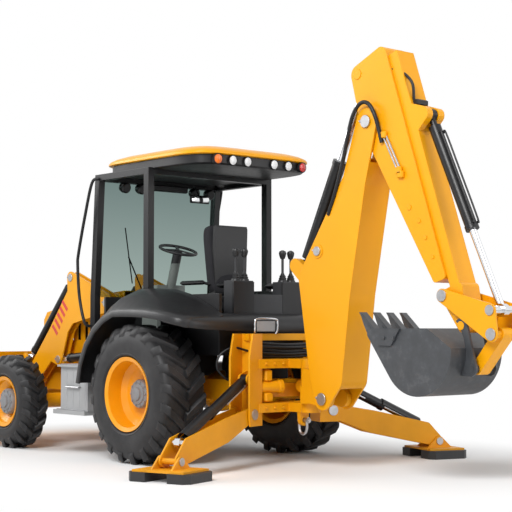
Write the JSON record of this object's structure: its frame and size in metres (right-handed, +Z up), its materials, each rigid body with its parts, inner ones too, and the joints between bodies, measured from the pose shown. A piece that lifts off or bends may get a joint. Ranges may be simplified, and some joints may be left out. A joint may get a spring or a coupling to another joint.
{
  "type": "backhoe loader",
  "caption": "Wheeled backhoe loader with a front loading shovel, open cab under a canopy roof, telescopic digging arm with bucket and swing-down stabiliser legs.",
  "frame": {"origin": "on the ground under the middle of the whole machine", "axes": "+X forward to the loading shovel, +Y to the machine's left, +Z up"},
  "size_m": [7.2391, 3.6238, 3.4929],
  "materials": {
    "yellow_paint": "orange-yellow gloss paint",
    "black_paint": "black semi-gloss paint",
    "axle_iron": "dark painted casting",
    "engine_iron": "dark casting",
    "black_plastic": "moulded dark plastic",
    "grey_plastic": "light grey moulding",
    "grey_paint": "grey paint",
    "bucket_steel": "worn dark grey paint",
    "chrome_rod": "polished rod",
    "tyre": "black tyre rubber",
    "foot_rubber": "black rubber pads under a steel flange",
    "seat_cloth": "dark seat covering",
    "lamp_lens": "clear and coloured lenses in dark housings",
    "screen_glass": "tinted clear glass"
  },
  "bodies": {
    "chassis": {"frame": "yellow_paint", "engine": "engine_iron", "hood": "yellow_paint", "rear_axle": "axle_iron", "front_axle": "axle_iron", "platform": "black_paint", "fenders": "black_plastic", "canopy": "black_paint", "roof": "yellow_paint", "lamps": "lamp_lens", "windscreen": "screen_glass", "dash": "grey_plastic", "seat": "seat_cloth", "consoles": "black_plastic", "side_boxes": "grey_paint", "rear_frame": "yellow_paint"},
    "wheel_rl": {"tyre_rl": "tyre", "rim_rl": "yellow_paint"},
    "wheel_rr": {"tyre_rr": "tyre", "rim_rr": "yellow_paint"},
    "knuckle_left": {"knuckle_l": "axle_iron"},
    "knuckle_right": {"knuckle_r": "axle_iron"},
    "wheel_fl": {"tyre_fl": "tyre", "rim_fl": "yellow_paint"},
    "wheel_fr": {"tyre_fr": "tyre", "rim_fr": "yellow_paint"},
    "leg_left": {"leg_l": "yellow_paint"},
    "leg_right": {"leg_r": "yellow_paint"},
    "leg_barrel_left": {"leg_barrel_l": "black_paint"},
    "leg_barrel_right": {"leg_barrel_r": "black_paint"},
    "leg_rod_left": {"leg_rod_l": "chrome_rod"},
    "leg_rod_right": {"leg_rod_r": "chrome_rod"},
    "foot_left": {"foot_l": "foot_rubber"},
    "foot_right": {"foot_r": "foot_rubber"},
    "loader_arms": {"loader_arms": "yellow_paint"},
    "shovel": {"shovel": "yellow_paint"},
    "lift_barrels": {"lift_barrels": "black_paint"},
    "lift_rods": {"lift_rods": "chrome_rod"},
    "tilt_barrels": {"tilt_barrels": "black_paint"},
    "tilt_rods": {"tilt_rods": "chrome_rod"},
    "tilt_levers": {"tilt_levers": "yellow_paint"},
    "tilt_links": {"tilt_links": "yellow_paint"},
    "kingpost": {"kingpost": "yellow_paint"},
    "boom": {"boom": "yellow_paint"},
    "boom_barrel": {"boom_barrel": "black_paint"},
    "boom_rod": {"boom_rod": "chrome_rod"},
    "dipper": {"dipper": "yellow_paint"},
    "dipper_barrel": {"dipper_barrel": "black_paint"},
    "dipper_rod": {"dipper_rod": "chrome_rod"},
    "slider": {"slider": "yellow_paint"},
    "bucket_barrel": {"bucket_barrel": "black_paint"},
    "bucket_rod": {"bucket_rod": "chrome_rod"},
    "bucket_lever": {"bucket_lever": "yellow_paint"},
    "bucket_link": {"bucket_link": "yellow_paint"},
    "bucket": {"bucket": "bucket_steel"}
  },
  "joints": [
    {"name": "wheel_rl_turn", "type": "hinge", "parent": "chassis", "child": "wheel_rl", "pos_m": [-0.23157, 0.86, 0.615], "axis": [0, 1, 0], "continuous": true},
    {"name": "wheel_rr_turn", "type": "hinge", "parent": "chassis", "child": "wheel_rr", "pos_m": [-0.23157, -0.86, 0.615], "axis": [0, 1, 0], "continuous": true},
    {"name": "steer_left", "type": "hinge", "parent": "chassis", "child": "knuckle_left", "pos_m": [1.93843, 0.7, 0.465], "axis": [0, 0, 1], "range_deg": [-35, 35]},
    {"name": "steer_right", "type": "hinge", "parent": "chassis", "child": "knuckle_right", "pos_m": [1.93843, -0.7, 0.465], "axis": [0, 0, 1], "range_deg": [-35, 35]},
    {"name": "wheel_fl_turn", "type": "hinge", "parent": "knuckle_left", "child": "wheel_fl", "pos_m": [1.93843, 0.918, 0.465], "axis": [0, 1, 0], "continuous": true},
    {"name": "wheel_fr_turn", "type": "hinge", "parent": "knuckle_right", "child": "wheel_fr", "pos_m": [1.93843, -0.918, 0.465], "axis": [0, 1, 0], "continuous": true},
    {"name": "loader_lift", "type": "hinge", "parent": "chassis", "child": "loader_arms", "pos_m": [0.98843, 0, 1.45], "axis": [0, -1, 0], "range_deg": [-6, 74]},
    {"name": "lift_barrel_turn", "type": "hinge", "parent": "chassis", "child": "lift_barrels", "pos_m": [0.91843, 0, 0.96], "axis": [0, 1, 0], "range_deg": [-58.52, 4.75]},
    {"name": "lift_rod_slide", "type": "slide", "parent": "lift_barrels", "child": "lift_rods", "axis": [0.9963, 0, -0.0857], "range_m": [-0.04123, 0.50735]},
    {"name": "shovel_tilt", "type": "hinge", "parent": "loader_arms", "child": "shovel", "pos_m": [2.74843, 0, 0.31], "axis": [0, 1, 0], "range_deg": [0, 130]},
    {"name": "tilt_lever_turn", "type": "hinge", "parent": "loader_arms", "child": "tilt_levers", "pos_m": [2.56843, 0, 0.49], "axis": [0, 1, 0], "range_deg": [0, 130]},
    {"name": "tilt_link_turn", "type": "hinge", "parent": "tilt_levers", "child": "tilt_links", "pos_m": [2.43949, 0, 0.79377], "axis": [0, 1, 0], "range_deg": [-130, 0]},
    {"name": "tilt_barrel_turn", "type": "hinge", "parent": "loader_arms", "child": "tilt_barrels", "pos_m": [1.62843, 0, 1.715], "axis": [0, 1, 0], "range_deg": [-0.141, 0.01]},
    {"name": "tilt_rod_slide", "type": "slide", "parent": "tilt_barrels", "child": "tilt_rods", "axis": [0.6969, 0, -0.7172], "range_m": [-0.0001, 0.77952]},
    {"name": "swing", "type": "hinge", "parent": "chassis", "child": "kingpost", "pos_m": [-1.45157, 0, 0.6], "axis": [0, 0, 1], "range_deg": [-90, 90]},
    {"name": "boom_lift", "type": "hinge", "parent": "kingpost", "child": "boom", "pos_m": [-1.75157, 0, 0.6], "axis": [0, -1, 0], "range_deg": [-8, 115]},
    {"name": "boom_barrel_turn", "type": "hinge", "parent": "kingpost", "child": "boom_barrel", "pos_m": [-1.61157, 0, 0.777], "axis": [0, 1, 0], "range_deg": [-112.24, 7.82]},
    {"name": "boom_rod_slide", "type": "slide", "parent": "boom_barrel", "child": "boom_rod", "axis": [-0.0836, 0, 0.9965], "range_m": [-0.02624, 0.37592]},
    {"name": "dipper_reach", "type": "hinge", "parent": "boom", "child": "dipper", "pos_m": [-2.28157, 0, 2.89], "axis": [0, 1, 0], "range_deg": [-6, 108]},
    {"name": "dipper_barrel_turn", "type": "hinge", "parent": "boom", "child": "dipper_barrel", "pos_m": [-1.39157, 0, 1.74], "axis": [0, 1, 0], "range_deg": [-4.31, 0.25]},
    {"name": "dipper_rod_slide", "type": "slide", "parent": "dipper_barrel", "child": "dipper_rod", "axis": [-0.4426, 0, 0.8967], "range_m": [-0.68379, 0.03808]},
    {"name": "dipper_extend", "type": "slide", "parent": "dipper", "child": "slider", "axis": [-0.3173, 0, -0.9483], "range_m": [0, 1.1]},
    {"name": "bucket_curl", "type": "hinge", "parent": "slider", "child": "bucket", "pos_m": [-3.25157, 0, 1.21503], "axis": [0, 1, 0], "range_deg": [-5, 150]},
    {"name": "bucket_lever_turn", "type": "hinge", "parent": "slider", "child": "bucket_lever", "pos_m": [-3.08357, 0, 1.44603], "axis": [0, 1, 0], "range_deg": [-2.65, 79.16]},
    {"name": "bucket_link_turn", "type": "hinge", "parent": "bucket", "child": "bucket_link", "pos_m": [-3.34357, 0, 0.88803], "axis": [0, 1, 0], "range_deg": [-132.47, 4.42]},
    {"name": "bucket_barrel_turn", "type": "hinge", "parent": "slider", "child": "bucket_barrel", "pos_m": [-2.84857, 0, 2.891], "axis": [0, 1, 0], "range_deg": [-0.798, 0.036]},
    {"name": "bucket_rod_slide", "type": "slide", "parent": "bucket_barrel", "child": "bucket_rod", "axis": [-0.4106, 0, -0.9118], "range_m": [-0.61415, 0.02057]},
    {"name": "leg_left_raise", "type": "hinge", "parent": "chassis", "child": "leg_left", "pos_m": [-1.14657, 0.5, 0.46], "axis": [0.9511, 0.309, 0], "range_deg": [-8, 88]},
    {"name": "leg_left_barrel_turn", "type": "hinge", "parent": "chassis", "child": "leg_barrel_left", "pos_m": [-1.14039, 0.48098, 0.76], "axis": [0.9511, 0.309, 0], "range_deg": [-8.79, 96.56]},
    {"name": "leg_left_rod_slide", "type": "slide", "parent": "leg_barrel_left", "child": "leg_rod_left", "axis": [-0.2788, 0.8582, -0.431], "range_m": [-0.39634, 0.03612]},
    {"name": "foot_left_tilt", "type": "hinge", "parent": "leg_left", "child": "foot_left", "pos_m": [-1.48654, 1.54631, 0.15], "axis": [0.9511, 0.309, 0], "range_deg": [-10, 30]},
    {"name": "leg_right_raise", "type": "hinge", "parent": "chassis", "child": "leg_right", "pos_m": [-1.14657, -0.5, 0.46], "axis": [-0.9511, 0.309, 0], "range_deg": [-8, 88]},
    {"name": "leg_right_barrel_turn", "type": "hinge", "parent": "chassis", "child": "leg_barrel_right", "pos_m": [-1.14039, -0.48098, 0.76], "axis": [-0.9511, 0.309, 0], "range_deg": [-8.79, 96.56]},
    {"name": "leg_right_rod_slide", "type": "slide", "parent": "leg_barrel_right", "child": "leg_rod_right", "axis": [-0.2788, -0.8582, -0.431], "range_m": [-0.39634, 0.03612]},
    {"name": "foot_right_tilt", "type": "hinge", "parent": "leg_right", "child": "foot_right", "pos_m": [-1.48654, -1.54631, 0.15], "axis": [-0.9511, 0.309, 0], "range_deg": [-10, 30]}
  ],
  "couplings": [
    {"joint": "steer_right", "follows": "steer_left", "ratio": 1},
    {"joint": "lift_barrel_turn", "follows": "loader_lift", "ratio": -0.79074},
    {"joint": "lift_rod_slide", "follows": "loader_lift", "m_per_rad": 0.39275},
    {"joint": "tilt_lever_turn", "follows": "shovel_tilt", "ratio": 1},
    {"joint": "tilt_link_turn", "follows": "shovel_tilt", "ratio": -1},
    {"joint": "tilt_barrel_turn", "follows": "shovel_tilt", "ratio": -0.001006},
    {"joint": "tilt_rod_slide", "follows": "shovel_tilt", "m_per_rad": 0.34352},
    {"joint": "boom_barrel_turn", "follows": "boom_lift", "ratio": -0.97589},
    {"joint": "boom_rod_slide", "follows": "boom_lift", "m_per_rad": 0.18724},
    {"joint": "dipper_barrel_turn", "follows": "dipper_reach", "ratio": -0.039856},
    {"joint": "dipper_rod_slide", "follows": "dipper_reach", "m_per_rad": -0.36271},
    {"joint": "bucket_lever_turn", "follows": "bucket_curl", "ratio": 0.52765},
    {"joint": "bucket_link_turn", "follows": "bucket_curl", "ratio": -0.88304},
    {"joint": "bucket_barrel_turn", "follows": "bucket_curl", "ratio": -0.005251},
    {"joint": "bucket_rod_slide", "follows": "bucket_curl", "m_per_rad": -0.23455},
    {"joint": "leg_left_barrel_turn", "follows": "leg_left_raise", "ratio": 1.0972},
    {"joint": "leg_left_rod_slide", "follows": "leg_left_raise", "m_per_rad": -0.25799},
    {"joint": "leg_right_barrel_turn", "follows": "leg_right_raise", "ratio": 1.0972},
    {"joint": "leg_right_rod_slide", "follows": "leg_right_raise", "m_per_rad": -0.25799}
  ]
}
